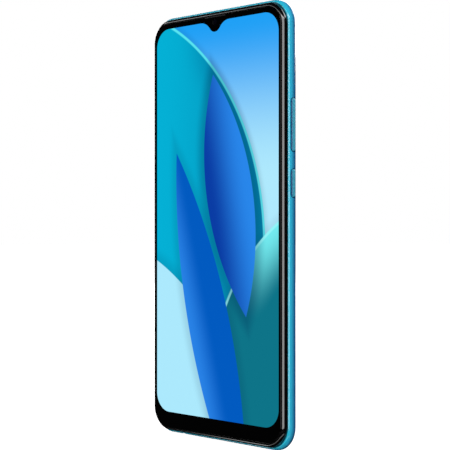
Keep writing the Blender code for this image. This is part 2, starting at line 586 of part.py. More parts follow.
def make_motor():
    centre = (MOTOR_X, MOTOR_Z)
    profile = [(4.3, 4.0), (4.3, 5.9), (3.95, 5.9), (3.95, 4.3), (0.4, 4.3), (0.4, 5.6)]
    turned("vibration_motor_case", "steel", profile, centre)
    half_disc = [(MOTOR_X + 3.6 * math.cos(turn), MOTOR_Z + 3.6 * math.sin(turn))
                 for turn in (math.radians(15 * step) for step in range(13))]
    origin = (MOTOR_X, FRONT_Y + 5.0, MOTOR_Z)
    rotor = prism("vibration_rotor", "brass", half_disc, 4.55, 5.4, origin=origin)
    join(rotor, turned("tool_rotor_hub", "brass", [(1.1, 4.55), (1.1, 5.4)], centre, 16))
    cut_bore(rotor, "shaft_hole", centre, 0.65, 4.0, 6.0, sides=16)


def make_screw(name, centre, seat, tip):
    """Pan-head screw whose head rests on the surface at the depth of its seat."""
    under_head = seat + SCREW_GAP
    top = under_head + SCREW_HEAD_HEIGHT
    profile = [(SCREW_HEAD_RADIUS, top), (SCREW_HEAD_RADIUS, under_head), (SCREW_SHANK_RADIUS, under_head),
               (SCREW_SHANK_RADIUS, tip)]
    turned(name, "steel", profile, centre, 12)


def make_screws():
    for number, centre in enumerate(BRACKET_SCREWS, 1):
        make_screw(f"bracket_screw_{number}", centre, BRACKET_BACK, 3.5)
    for number, centre in enumerate(SPEAKER_SCREWS, 1):
        make_screw(f"speaker_screw_{number}", centre, SPEAKER_BACK, 3.5)
    make_screw("sub_board_screw", SUB_BOARD_SCREW, BOARD_BACK, 2.8)


clear_scene()
MADE_LOOKS = make_looks()
make_rear_cover()
make_mid_frame()
make_display()
make_front_camera_and_earpiece()
make_main_board()
make_card_reader()
make_rear_cameras()
make_battery()
make_side_keys()
make_upper_bracket()
make_bottom_assembly()
make_screws()
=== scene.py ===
"""Looks of the smartphone: fine meshes for what shows, and a procedural material for every piece.

Lengths are millimetres until a mesh is made. A depth is measured back from the front glass.
"""

import json
import math

import bmesh
import bpy
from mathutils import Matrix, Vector


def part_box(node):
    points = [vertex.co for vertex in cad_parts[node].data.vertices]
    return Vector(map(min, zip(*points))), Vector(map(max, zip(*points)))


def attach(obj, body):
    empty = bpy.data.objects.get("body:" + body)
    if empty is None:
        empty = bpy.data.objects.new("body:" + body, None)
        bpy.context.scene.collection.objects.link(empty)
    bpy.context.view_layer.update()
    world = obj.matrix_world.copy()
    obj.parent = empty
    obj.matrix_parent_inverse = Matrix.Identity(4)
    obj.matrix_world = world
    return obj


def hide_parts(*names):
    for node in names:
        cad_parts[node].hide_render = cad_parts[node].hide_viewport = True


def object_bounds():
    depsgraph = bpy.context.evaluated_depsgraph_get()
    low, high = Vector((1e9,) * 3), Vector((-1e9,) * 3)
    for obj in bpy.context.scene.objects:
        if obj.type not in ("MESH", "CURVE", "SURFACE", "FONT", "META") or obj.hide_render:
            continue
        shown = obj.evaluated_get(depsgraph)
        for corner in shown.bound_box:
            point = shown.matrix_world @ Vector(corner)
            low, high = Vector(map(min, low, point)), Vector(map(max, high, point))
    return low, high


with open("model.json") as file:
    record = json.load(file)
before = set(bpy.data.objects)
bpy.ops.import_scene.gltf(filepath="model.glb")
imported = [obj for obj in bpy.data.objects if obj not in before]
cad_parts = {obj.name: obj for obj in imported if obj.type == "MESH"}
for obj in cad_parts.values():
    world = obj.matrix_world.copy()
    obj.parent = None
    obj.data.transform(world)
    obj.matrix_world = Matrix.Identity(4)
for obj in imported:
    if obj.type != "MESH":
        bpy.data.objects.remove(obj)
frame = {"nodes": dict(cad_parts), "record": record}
CAD_BOUNDS = [list(corner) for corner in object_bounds()]

MM = 0.001
FRONT_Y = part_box("cover_glass")[0].y / MM
BODY_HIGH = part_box("rear_cover")[1] / MM
BODY_HALF_WIDTH = BODY_HIGH.x
BODY_HALF_HEIGHT = BODY_HIGH.z
BODY_THICKNESS = BODY_HIGH.y - FRONT_Y
BUMP_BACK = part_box("camera_island")[1].y / MM - FRONT_Y

# Shell
BODY_CORNER = 9.25
WIDEST_DEPTH = 4.45
LIP_DEPTH = 2.1
BACK_CURVE_WIDTH = 10.5
END_CURVE_SHARE = 0.45
CORNER_SHARE = 0.4
WALL = 0.9

# Front ring
RING_INSET = 1.15
RING_HALF_WIDTH = BODY_HALF_WIDTH - RING_INSET
RING_HALF_HEIGHT = BODY_HALF_HEIGHT - 1.35
RING_CORNER = 8.8
RING_ROUND_WIDTH = 1.1
RING_ROUND_DEPTH = 0.9
RING_BACK_DEPTH = 1.95
GLASS_INSET = 1.4
GLASS_THICKNESS = 0.65
LEDGE_INSET = 1.9
LEDGE_DEPTH = 0.85
PLATE_FRONT, PLATE_BACK = 2.7, 3.2
RIM_INSET = 1.15
RIM_WALL = 1.0
RIM_BACK = 5.0

# Lit area of the screen
SCREEN_HALF_WIDTH = 33.82
SCREEN_TOP = 77.1
SCREEN_BOTTOM = -73.45
SCREEN_CORNER = 7.2
DROP_BOTTOM = 73.1
DROP_RADIUS = 3.4
DROP_FLARE = 7.9
LENS_Z = 76.8
NOTCH_HALF_WIDTH, NOTCH_BOTTOM = 6.0, 78.62

# Keys, card tray and ports
KEY_DEPTH = 4.0
KEY_HALF_BREADTH = 0.95
KEY_FACE_X = BODY_HALF_WIDTH + 0.15
KEYS = {"volume_rocker": (36.0, 9.5), "power_key": (15.0, 5.0)}
DOOR_FRONT, DOOR_BACK = 3.5, 5.7
DOOR_LOW, DOOR_HIGH = 37.6, 54.4
DOOR_SUNK = 0.02
TRAY_FRONT, TRAY_BACK = 4.17, 5.13
TRAY_LOW, TRAY_HIGH = 41.2, 54.0
TRAY_INNER_END = 6.7
CARD_SEATS = (-34.0, -21.6, 4.45), (-20.6, -8.2, 4.45), (-7.2, 5.6, 5.5)
SEAT_LEDGE = 0.9
DOOR_INNER_X = -35.6
TRAY_START_X = -35.65
EJECT_Z, EJECT_DEPTH = 38.9, 4.65
PORT_DEPTH = 4.6
JACK_X = -21.0
MIC_X = -10.0
BELOW_BODY = -84.0
SPEAKER_HOLES_X = (13.0, 15.6, 18.2, 20.8, 23.4, 26.0)

# Rear cameras
ISLAND_X, ISLAND_Z = 15.5, 53.0
ISLAND_HALF_WIDTH, ISLAND_HALF_HEIGHT = 9.8, 17.0
ISLAND_CORNER = 6.0
ISLAND_TOP = BUMP_BACK - 0.25
CAMERAS = {"main": (18.5, 61.5, 4.0), "macro": (18.5, 49.6, 2.7), "depth": (18.5, 41.2, 2.2)}
FLASH = (10.2, 61.5, 1.9)

ROOT = "chassis"

# Plain studio: the floor's gap below the phone, what glossy surfaces mirror, and what fills the shadows
FLOOR_GAP = 0.2
REFLECTED_LIGHT = 0.012
AMBIENT_LIGHT = 0.12
STRIP_LIGHT = 3.0
STRIP_SINES = (0.50, 0.57), (-0.71, -0.67)

# Camera: its place from the middle of the front glass, where it looks, and its lens
CAMERA_X, CAMERA_Y = 353.33, -325.16
CAMERA_AIM = -0.7304, 0.6831, 0.0
CAMERA_LENS = 101.566
SENSOR_WIDTH = 36.0


# ---------------------------------------------------------------- mesh helpers

def rounded(half_a, half_b, radius, steps=20, centre=(0.0, 0.0)):
    """Outline of a rectangle with round corners, as points in order."""
    points = []
    for quarter, (sign_a, sign_b) in enumerate(((1, 1), (-1, 1), (-1, -1), (1, -1))):
        corner_a = centre[0] + sign_a * (half_a - radius)
        corner_b = centre[1] + sign_b * (half_b - radius)
        for step in range(steps + 1):
            angle = math.radians(90 * (quarter + step / steps))
            points.append((corner_a + radius * math.cos(angle), corner_b + radius * math.sin(angle)))
    return points


def rectangle(low_a, high_a, low_b, high_b):
    return [(high_a, low_b), (high_a, high_b), (low_a, high_b), (low_a, low_b)]


def circle(radius, centre=(0.0, 0.0), sides=48):
    turns = [2 * math.pi * side / sides for side in range(sides)]
    return [(centre[0] + radius * math.cos(turn), centre[1] + radius * math.sin(turn)) for turn in turns]


def point_on(along, a, b, distance):
    """World point, in metres, of outline point (a, b) at a distance along the extrusion.

    Along Y the outline is (x, z), along Z it is (x, depth) and along X it is (z, depth)."""
    if along == "Y":
        return Vector((a, FRONT_Y + distance, b)) * MM
    if along == "Z":
        return Vector((a, FRONT_Y + b, distance)) * MM
    return Vector((distance, FRONT_Y + b, a)) * MM


def mesh_object(name, shape, material, sharp=32):
    """Object from a bmesh, with its normals out and its round faces smooth."""
    bmesh.ops.recalc_face_normals(shape, faces=shape.faces)
    mesh = bpy.data.meshes.new(name)
    shape.to_mesh(mesh)
    shape.free()
    mesh.materials.append(material)
    mesh.shade_smooth()
    mesh.set_sharp_from_angle(angle=math.radians(sharp))
    item = bpy.data.objects.new(name, mesh)
    bpy.context.scene.collection.objects.link(item)
    return item


def loft(name, material, sections, along="Y", closed=False, sharp=32):
    """One body through outlines of equal point count; closed joins the last to the first."""
    shape = bmesh.new()
    rings = [[shape.verts.new(point_on(along, a, b, distance)) for a, b in outline]
             for outline, distance in sections]
    pairs = list(zip(rings, rings[1:]))
    if closed:
        pairs.append((rings[-1], rings[0]))
    else:
        shape.faces.new(rings[0])
        shape.faces.new(rings[-1])
    for near, far in pairs:
        for i in range(len(near)):
            j = (i + 1) % len(near)
            shape.faces.new((near[i], near[j], far[j], far[i]))
    return mesh_object(name, shape, material, sharp)


def prism(name, material, outline, start, end, along="Y"):
    return loft(name, material, [(outline, start), (outline, end)], along)


def turned(name, material, profile, centre, sides=64, closed=False, along="Y"):
    sections = [(circle(radius, centre, sides), distance) for radius, distance in profile]
    return loft(name, material, sections, along, closed)


def apply_modifiers(item):
    graph = bpy.context.evaluated_depsgraph_get()
    mesh = bpy.data.meshes.new_from_object(item.evaluated_get(graph))
    item.modifiers.clear()
    item.data = mesh


def shape_with(item, tools, operation="DIFFERENCE", sharp=32):
    """Cuts the tools out of the item, or joins them to it, and removes them."""
    for tool in tools:
        modifier = item.modifiers.new(tool.name, "BOOLEAN")
        modifier.operation = operation
        modifier.solver = "EXACT"
        modifier.object = tool
    apply_modifiers(item)
    for tool in tools:
        bpy.data.objects.remove(tool, do_unlink=True)
    item.data.shade_smooth()
    item.data.set_sharp_from_angle(angle=math.radians(sharp))


def place(item, body=ROOT, replaces=()):
    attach(item, body)
    if replaces:
        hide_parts(*replaces)
    return item


# ---------------------------------------------------------------- material helpers

def linear(red, green, blue):
    """Scene-linear colour of an sRGB one given in 0 to 255."""
    def channel(value):
        share = value / 255
        return share / 12.92 if share <= 0.04045 else ((share + 0.055) / 1.055) ** 2.4
    return channel(red), channel(green), channel(blue), 1.0


class Nodes:
    """A material's node tree, with short ways to add what the recipes below use."""

    def __init__(self, name):
        self.material = bpy.data.materials.new(name)
        self.material.use_nodes = True
        self.tree = self.material.node_tree
        self.shader = self.tree.nodes["Principled BSDF"]
        self.place = self.add("ShaderNodeTexCoord").outputs["Object"]

    def add(self, kind, **settings):
        node = self.tree.nodes.new(kind)
        for key, value in settings.items():
            setattr(node, key, value)
        return node

    def feed(self, socket, value):
        if isinstance(value, bpy.types.NodeSocket):
            self.tree.links.new(value, socket)
        else:
            socket.default_value = value

    def math(self, operation, first, second=0.0, clamp=False):
        node = self.add("ShaderNodeMath", operation=operation, use_clamp=clamp)
        self.feed(node.inputs[0], first)
        self.feed(node.inputs[1], second)
        return node.outputs[0]

    def fade(self, value, start, end, low=0.0, high=1.0, smooth=True):
        """low where value is start, high where it is end, and a smooth step between."""
        node = self.add("ShaderNodeMapRange", interpolation_type="SMOOTHSTEP" if smooth else "LINEAR")
        for name, given in zip(("Value", "From Min", "From Max", "To Min", "To Max"),
                               (value, start, end, low, high)):
            self.feed(node.inputs[name], given)
        return node.outputs[0]

    def mix(self, share, first, second):
        node = self.add("ShaderNodeMix", data_type="RGBA")
        self.feed(node.inputs["Factor"], share)
        self.feed(node.inputs["A"], first)
        self.feed(node.inputs["B"], second)
        return node.outputs["Result"]

    def axis(self, name):
        node = self.add("ShaderNodeSeparateXYZ")
        self.feed(node.inputs[0], self.place)
        return node.outputs[name]

    def noise(self, per_mm, detail=3.0, stretch=(1.0, 1.0, 1.0)):
        """Noise whose features are about 1 / per_mm millimetres across."""
        mapping = self.add("ShaderNodeMapping")
        self.feed(mapping.inputs["Vector"], self.place)
        mapping.inputs["Scale"].default_value = stretch
        node = self.add("ShaderNodeTexNoise")
        self.feed(node.inputs["Vector"], mapping.outputs[0])
        node.inputs["Scale"].default_value = per_mm / MM
        node.inputs["Detail"].default_value = detail
        return node.outputs["Fac"]

    def key_distance(self, centre_z, half_length):
        """Distance outside a key's outline, in metres, and large on the side without keys."""
        straight = (half_length - KEY_HALF_BREADTH) * MM
        across = self.math("SUBTRACT", self.axis("Y"), (FRONT_Y + KEY_DEPTH) * MM)
        along = self.math("ABSOLUTE", self.math("SUBTRACT", self.axis("Z"), centre_z * MM))
        beyond = self.math("MAXIMUM", self.math("SUBTRACT", along, straight), 0.0)
        across_squared = self.math("MULTIPLY", across, across)
        squares = self.math("ADD", across_squared, self.math("MULTIPLY", beyond, beyond))
        distance = self.math("SUBTRACT", self.math("SQRT", squares), KEY_HALF_BREADTH * MM)
        return self.math("ADD", distance, self.fade(self.axis("X"), 0.0, 1.0 * MM, 1.0, 0.0))

    def ramp(self, value, stops):
        node = self.add("ShaderNodeValToRGB")
        self.feed(node.inputs[0], value)
        elements = node.color_ramp.elements
        while len(elements) < len(stops):
            elements.new(0.5)
        for element, (place_on_ramp, colour) in zip(elements, stops):
            element.position = place_on_ramp
            element.color = colour
        return node.outputs["Color"]

    def bump(self, height, distance_mm, strength=1.0):
        node = self.add("ShaderNodeBump")
        self.feed(node.inputs["Height"], height)
        node.inputs["Distance"].default_value = distance_mm * MM
        node.inputs["Strength"].default_value = strength
        self.tree.links.new(node.outputs["Normal"], self.shader.inputs["Normal"])

    def set(self, **values):
        for name, value in values.items():
            self.feed(self.shader.inputs[name.replace("_", " ")], value)
        return self.material


def plain(name, colour, roughness, metallic=0.0, grain=0.8, spread=0.12, height=0.004,
          stretch=(1.0, 1.0, 1.0), **more):
    """A material whose colour, gloss and surface vary with one grain, in features per millimetre."""
    nodes = Nodes(name)
    noise = nodes.noise(grain, stretch=stretch)
    darker = tuple(channel * (1 - spread) for channel in colour[:3]) + (1.0,)
    lighter = tuple(min(1.0, channel * (1 + spread)) for channel in colour[:3]) + (1.0,)
    nodes.bump(noise, height)
    return nodes.set(Base_Color=nodes.mix(noise, darker, lighter), Metallic=metallic,
                     Roughness=nodes.fade(noise, 0.3, 0.7, roughness * 0.8, roughness * 1.2), **more)


# ---------------------------------------------------------------- materials

def shell_material():
    """Glossy plastic that runs from bright cyan at the lip to a darker blue on the back, with painted shade
    at the lip's seam, across the widest part of the side, towards the top of the back and round each key.
    """
    nodes = Nodes("blue_shell")
    depth = nodes.math("SUBTRACT", nodes.axis("Y"), FRONT_Y * MM)
    share = nodes.math("DIVIDE", depth, BODY_THICKNESS * MM, clamp=True)
    # Ramp by depth, partly the blue of the plastic and partly painted shade: the dark first stop is painted
    # shade of the seam with the ring, and the fall to the darkest stop at the widest line is painted shade
    # of the side turning away from the front light.
    graded_and_shaded = nodes.ramp(share, [(0.2685, linear(0, 70, 90)), (0.275, linear(45, 220, 250)),
                                (0.40, linear(60, 208, 255)), (0.57, linear(32, 105, 170)),
                                (1.0, linear(40, 135, 215))])
    # Painted shade: the back is mixed towards a darker blue the higher it is, darkest at the top edge and
    # corners.
    height = nodes.fade(nodes.axis("Z"), -BODY_HALF_HEIGHT * MM, BODY_HALF_HEIGHT * MM, smooth=False)
    shaded_to_top = nodes.mix(nodes.math("MULTIPLY", height, 0.45), graded_and_shaded, linear(22, 96, 190))
    behind = nodes.fade(share, 0.75, 1.0)
    # Painted shade: a dark outline on the shell round each key stands in for the shade in the gap between
    # key and shell.
    for centre_z, half_length in KEYS.values():
        outside = nodes.key_distance(centre_z, half_length)
        graded_and_shaded = nodes.mix(nodes.fade(outside, 0.2 * MM, 0.5 * MM, 0.85, 0.0), graded_and_shaded, linear(0, 62, 120))
    flake = nodes.noise(14.0, 1.0)
    sparkle = nodes.fade(flake, 0.62, 0.78, 0.0, 0.10)
    body = nodes.mix(behind, graded_and_shaded, shaded_to_top)
    nodes.bump(nodes.noise(0.05, 2.0), 0.02, 0.15)
    return nodes.set(Base_Color=nodes.mix(sparkle, body, linear(150, 225, 250)), Metallic=0.0,
                     Roughness=nodes.fade(nodes.noise(0.3), 0.3, 0.7, 0.13, 0.19),
                     Coat_Weight=1.0, Coat_Roughness=0.03, Coat_IOR=1.5)


def key_material():
    """The shell's paint on the keys, with painted shade down the side that faces the screen."""
    nodes = Nodes("key_blue")
    noise = nodes.noise(0.5)
    face = nodes.mix(noise, linear(88, 210, 246), linear(98, 220, 252))
    # Painted shade: the key's side that faces the screen is mixed towards a dark blue.
    depth = nodes.math("SUBTRACT", nodes.axis("Y"), FRONT_Y * MM)
    flank_shade = nodes.fade(depth, (KEY_DEPTH - KEY_HALF_BREADTH + 0.02) * MM,
                       (KEY_DEPTH - KEY_HALF_BREADTH + 0.45) * MM, 0.9, 0.0)
    nodes.bump(noise, 0.001)
    return nodes.set(Base_Color=nodes.mix(flank_shade, face, linear(0, 70, 130)), Metallic=0.15,
                     Roughness=nodes.fade(noise, 0.3, 0.7, 0.2, 0.28), Coat_Weight=0.35, Coat_Roughness=0.1)


def ring_material():
    """Piano-black plastic of the front ring."""
    nodes = Nodes("black_frame")
    noise = nodes.noise(0.25)
    return nodes.set(Base_Color=nodes.mix(noise, linear(3, 3, 4), linear(7, 7, 9)),
                     Roughness=nodes.fade(noise, 0.3, 0.7, 0.16, 0.22), Specular_IOR_Level=0.2,
                     Coat_Weight=1.0, Coat_Roughness=0.06, Coat_IOR=1.7)


def ink_material():
    """Black print behind the border of the glass."""
    nodes = Nodes("front_glass")
    smudge = nodes.noise(0.03, 4.0)
    return nodes.set(Base_Color=nodes.mix(smudge, linear(0, 0, 0), linear(1, 1, 2)),
                     Roughness=nodes.fade(smudge, 0.35, 0.75, 0.03, 0.08))


def steel_material():
    return plain("steel", linear(190, 192, 196), 0.32, 0.7, grain=2.5, spread=0.08,
                 stretch=(1.0, 1.0, 0.05))


MATERIALS = {
    "blue_shell": shell_material(),
    "black_frame": ring_material(),
    "front_glass": ink_material(),
    "steel": steel_material(),
    "key_blue": key_material(),
    "panel": plain("panel", linear(30, 110, 160), 0.3, grain=0.2),
    "circuit_board": plain("circuit_board", linear(18, 74, 56), 0.4, grain=1.6, spread=0.35, height=0.03),
    "battery_wrap": plain("battery_wrap", linear(52, 53, 57), 0.5, grain=0.6, height=0.02),
    "flex_film": plain("flex_film", linear(150, 92, 30), 0.35, grain=1.2, spread=0.2),
    "black_plastic": plain("black_plastic", linear(20, 20, 22), 0.42, grain=2.0, spread=0.2, height=0.006),
    "lens_glass": plain("lens_glass", linear(6, 8, 18), 0.04, grain=0.2, spread=0.4, height=0.0),
    "flash_yellow": plain("flash_yellow", linear(238, 222, 158), 0.22, grain=1.5, spread=0.10, height=0.01),
    "graphite": plain("graphite", linear(60, 60, 63), 0.6, 0.2, grain=3.0),
    "adhesive": plain("adhesive", linear(30, 30, 30), 0.8, grain=1.5),
    "brass": plain("brass", linear(205, 170, 95), 0.3, 1.0, grain=1.5, spread=0.1),
}


def woven_material():
    """Dark woven mesh of the earpiece, with rows of small openings."""
    nodes = Nodes("earpiece_weave")
    pitch = 2 * math.pi / (0.36 * MM)
    across = nodes.math("SINE", nodes.math("MULTIPLY", nodes.axis("X"), pitch))
    up = nodes.math("SINE", nodes.math("MULTIPLY", nodes.axis("Z"), pitch))
    openings = nodes.fade(nodes.math("MULTIPLY", across, up), 0.1, 0.4)
    nodes.bump(openings, 0.05, 0.5)
    return nodes.set(Base_Color=nodes.mix(openings, linear(44, 45, 48), linear(6, 6, 7)), Metallic=0.3,
                     Roughness=nodes.fade(nodes.noise(1.0), 0.3, 0.7, 0.55, 0.65))


def dress_cad_nodes():
    """Every node carried over from CAD takes the material of its slot; the earpiece has its own weave."""
    for part in frame["record"]["subparts"]:
        mesh = frame["nodes"][part["node"]].data
        mesh.materials.clear()
        mesh.materials.append(MATERIALS[part["material_slot"]])
    frame["nodes"]["earpiece_mesh"].data.materials[0] = woven_material()


# ---------------------------------------------------------------- screen picture

class Picture(Nodes):
    """Soft overlapping discs and petals, drawn in millimetres on the screen plane."""

    def __init__(self, name):
        super().__init__(name)
        mapping = self.add("ShaderNodeMapping")
        self.feed(mapping.inputs["Vector"], self.place)
        mapping.inputs["Scale"].default_value = (1 / MM, 0.0, 1 / MM)
        self.plane = mapping.outputs[0]
        split = self.add("ShaderNodeSeparateXYZ")
        self.feed(split.inputs[0], self.plane)
        self.across = split.outputs["X"]
        self.up = split.outputs["Z"]

    def disc(self, x, z, radius):
        """Distance outside the edge of a disc, negative within it."""
        node = self.add("ShaderNodeVectorMath", operation="DISTANCE")
        self.feed(node.inputs[0], self.plane)
        node.inputs[1].default_value = (x, 0.0, z)
        return self.math("SUBTRACT", node.outputs["Value"], radius)

    def petal(self, tip, root, half_width):
        """Distance outside a petal, where two discs through its tip and root overlap."""
        span = math.dist(tip, root) / 2
        radius = (span * span + half_width * half_width) / (2 * half_width)
        middle = ((tip[0] + root[0]) / 2, (tip[1] + root[1]) / 2)
        side = ((tip[1] - root[1]) / (2 * span), (root[0] - tip[0]) / (2 * span))
        shift = radius - half_width
        near = self.disc(middle[0] - side[0] * shift, middle[1] - side[1] * shift, radius)
        far = self.disc(middle[0] + side[0] * shift, middle[1] + side[1] * shift, radius)
        return self.math("MAXIMUM", near, far), self.math("SUBTRACT", near, far)

    def lay(self, below, colour, outside, shadow=9.0, depth=0.45, rim=None):
        """A sheet of a colour over what is below, with its soft shadow and a bright rim."""
        shade = self.fade(outside, 0.0, shadow, depth, 0.0)
        shaded = self.mix(shade, below, linear(0, 40, 90))
        over = self.mix(self.fade(outside, -0.12, 0.12, 1.0, 0.0), shaded, colour)
        if rim is None:
            return over
        line = self.fade(self.math("ABSOLUTE", self.math("ADD", outside, 0.5)), 0.25, 0.75, 0.85, 0.0)
        return self.mix(line, over, rim)


def screen_material():
    """The lit screen: a plain composition of discs and petals in blues and teals."""
    art = Picture("lit_screen")
    sky = art.mix(art.fade(art.up, 15.0, SCREEN_TOP), linear(175, 233, 253), linear(30, 160, 246))
    teal_disc = art.disc(-70.0, -8.0, 97.0)
    teal = art.mix(art.fade(art.across, -34.0, 22.0), linear(2, 176, 213), linear(2, 150, 188))
    near_rim = art.math("MULTIPLY", art.fade(teal_disc, -16.0, 0.0, 0.0, 0.85),
                        art.fade(art.across, -22.0, 8.0))
    teal = art.mix(near_rim, teal, linear(0, 122, 164))
    image = art.lay(sky, teal, teal_disc, 3.0, 0.15, rim=linear(96, 238, 246))
    pale_disc = art.disc(-78.0, -106.0, 102.0)
    image = art.lay(image, linear(172, 233, 253), pale_disc, 6.0, 0.2)
    dark_disc = art.disc(77.0, -66.0, 80.0)
    near_edge = art.math("MULTIPLY", art.fade(dark_disc, -36.0, 0.0, smooth=False),
                         art.fade(art.across, 6.0, 30.0, 0.45, 1.0))
    aqua = art.mix(art.fade(near_edge, 0.45, 1.0), linear(12, 116, 136), linear(115, 235, 240))
    image = art.lay(image, aqua, dark_disc, 4.0, 0.12, rim=linear(150, 246, 250))
    royal_shape, royal_side = art.petal((-1.0, 57.0), (17.0, -34.0), 12.5)
    royal = art.mix(art.fade(royal_side, -21.0, 21.0), linear(8, 60, 164), linear(40, 134, 234))
    image = art.lay(image, royal, royal_shape, 6.0, 0.4)
    azure_shape, azure_side = art.petal((-22.0, 28.0), (17.0, -110.0), 11.5)
    azure = art.mix(art.fade(azure_side, -23.0, 3.0), linear(40, 130, 230), linear(0, 90, 192))
    image = art.lay(image, azure, azure_shape, 5.0, 0.2)
    return art.set(Base_Color=(0.0, 0.0, 0.0, 1.0), Roughness=0.05, Emission_Color=image,
                   Emission_Strength=1.0)


# ---------------------------------------------------------------- shell and ring

def body_section(inset, depth, thinner=0.0, end_share=1.0):
    half_width = BODY_HALF_WIDTH - inset - thinner
    half_height = BODY_HALF_HEIGHT - inset * end_share - thinner
    return rounded(half_width, half_height, BODY_CORNER - CORNER_SHARE * inset - thinner, 24), depth


def front_curve(steps, thinner):
    sections = []
    for step in range(steps):
        turn = math.radians(90 * step / steps)
        inset = RING_INSET * (1 - math.sin(turn))
        depth = WIDEST_DEPTH - (WIDEST_DEPTH - LIP_DEPTH) * math.cos(turn)
        sections.append(body_section(inset, depth, thinner))
    return sections


def back_curve(steps, back_depth, thinner):
    sections = []
    for step in range(steps + 1):
        turn = math.radians(90 * step / steps)
        inset = BACK_CURVE_WIDTH * (1 - math.cos(turn))
        depth = WIDEST_DEPTH + (back_depth - WIDEST_DEPTH) * math.sin(turn)
        sections.append(body_section(inset, depth, thinner, END_CURVE_SHARE))
    return sections


def key_outline(centre_z, half_length, half_breadth, less=0.05):
    return rounded(half_length, half_breadth, half_breadth - less, 8, (centre_z, KEY_DEPTH))


def tool(name, outline, start, end, along="Y"):
    return prism(f"tool_{name}", MATERIALS["black_plastic"], outline, start, end, along)


def make_shell():
    outside = front_curve(10, 0.0) + back_curve(20, BODY_THICKNESS, 0.0)
    inside = front_curve(4, WALL) + back_curve(8, BODY_THICKNESS - WALL, WALL)
    shell = loft("rear_shell", MATERIALS["blue_shell"], list(reversed(inside)) + outside)
    island = rounded(ISLAND_HALF_WIDTH + 0.12, ISLAND_HALF_HEIGHT + 0.12, ISLAND_CORNER + 0.12, 12,
                     (ISLAND_X, ISLAND_Z))
    door = rounded((DOOR_HIGH - DOOR_LOW) / 2 + 0.15, (DOOR_BACK - DOOR_FRONT) / 2 + 0.15, 1.1, 8,
                   ((DOOR_HIGH + DOOR_LOW) / 2, (DOOR_BACK + DOOR_FRONT) / 2))
    tools = [tool("island", island, 6.0, 9.0), tool("door", door, -40.0, -33.0, "X"),
             tool("port", rounded(4.65, 1.78, 1.74, 12, (0.0, PORT_DEPTH)), BELOW_BODY, -76.0, "Z"),
             tool("jack", circle(2.2, (JACK_X, PORT_DEPTH)), BELOW_BODY, -76.0, "Z"),
             tool("mic", circle(0.5, (MIC_X, PORT_DEPTH), 24), BELOW_BODY, -79.0, "Z")]
    for name, (centre_z, half_length) in KEYS.items():
        outline = key_outline(centre_z, half_length + 0.2, KEY_HALF_BREADTH + 0.15)
        tools.append(tool(name, outline, 34.0, 40.0, "X"))
    for number, hole_x in enumerate(SPEAKER_HOLES_X):
        hole = circle(0.65, (hole_x, PORT_DEPTH), 24)
        tools.append(tool(f"speaker_{number}", hole, BELOW_BODY, -79.0, "Z"))
    shape_with(shell, tools)
    place(shell, replaces=["rear_cover"])


def ring_section(inset, depth, steps=24):
    half_width = RING_HALF_WIDTH - inset
    return rounded(half_width, RING_HALF_HEIGHT - inset, RING_CORNER - inset, steps), depth


def ring_edge(steps=14, swing=22.0):
    """(inset, depth) pairs of the ring's front edge, an arc that turns by twice the swing."""
    width, depth = RING_ROUND_WIDTH, RING_ROUND_DEPTH
    chord = math.hypot(width, depth)
    radius = chord / (2 * math.sin(math.radians(swing)))
    facing = math.degrees(math.atan2(depth, width))
    first = math.radians(facing - swing)
    pairs = [(width + 0.05, 0.0)]
    for step in range(steps + 1):
        turn = first + math.radians(2 * swing) * step / steps
        outward = radius * (math.sin(turn) - math.sin(first))
        back = radius * (math.cos(first) - math.cos(turn))
        pairs.append((width - outward, back + 0.01))
    return pairs + [(0.0, depth + 0.06)]


def make_ring():
    arc = [ring_section(inset, depth) for inset, depth in ring_edge()]
    glass_side = GLASS_INSET - 0.12
    sections = [ring_section(LEDGE_INSET, PLATE_FRONT), ring_section(LEDGE_INSET, LEDGE_DEPTH),
                ring_section(glass_side, LEDGE_DEPTH), ring_section(glass_side, 0.03)]
    sections += arc
    sections += [ring_section(0.0, RING_BACK_DEPTH), ring_section(RIM_INSET, RING_BACK_DEPTH),
                 ring_section(RIM_INSET, RIM_BACK), ring_section(RIM_INSET + RIM_WALL, RIM_BACK),
                 ring_section(RIM_INSET + RIM_WALL, PLATE_BACK)]
    ring = loft("front_ring_and_mid_frame", MATERIALS["black_frame"], sections)
    tools = []
    for name, (centre_z, half_length) in KEYS.items():
        span = (centre_z - half_length - 1.4, centre_z + half_length + 1.4)
        tools.append(tool(name, rectangle(*span, 3.0, 5.6), 33.3, 36.0, "X"))
    tools.append(tool("tray", rectangle(EJECT_Z - 0.9, DOOR_HIGH + 0.3, 3.25, 5.6), -36.0, -33.3, "X"))
    tools.append(tool("port", rectangle(-4.9, 4.9, 2.5, 6.0), -80.0, -72.0, "Z"))
    tools.append(tool("jack", rectangle(JACK_X - 3.6, JACK_X + 3.6, 2.5, 6.0), -80.0, -66.8, "Z"))
    tools.append(tool("mic", rectangle(MIC_X - 1.0, MIC_X + 1.0, 4.0, 6.0), -80.0, -78.0, "Z"))
    tools.append(tool("speaker", rectangle(11.5, 27.5, 3.9, 6.0), -80.0, -78.0, "Z"))
    tools.append(tool("camera", circle(2.5, (0.0, LENS_Z)), 0.5, 4.0))
    tools.append(tool("camera_module", rectangle(-3.5, 3.5, 73.4, 78.45), 2.3, 5.5))
    shape_with(ring, tools)
    place(ring, replaces=["mid_frame"])


# ---------------------------------------------------------------- front glass

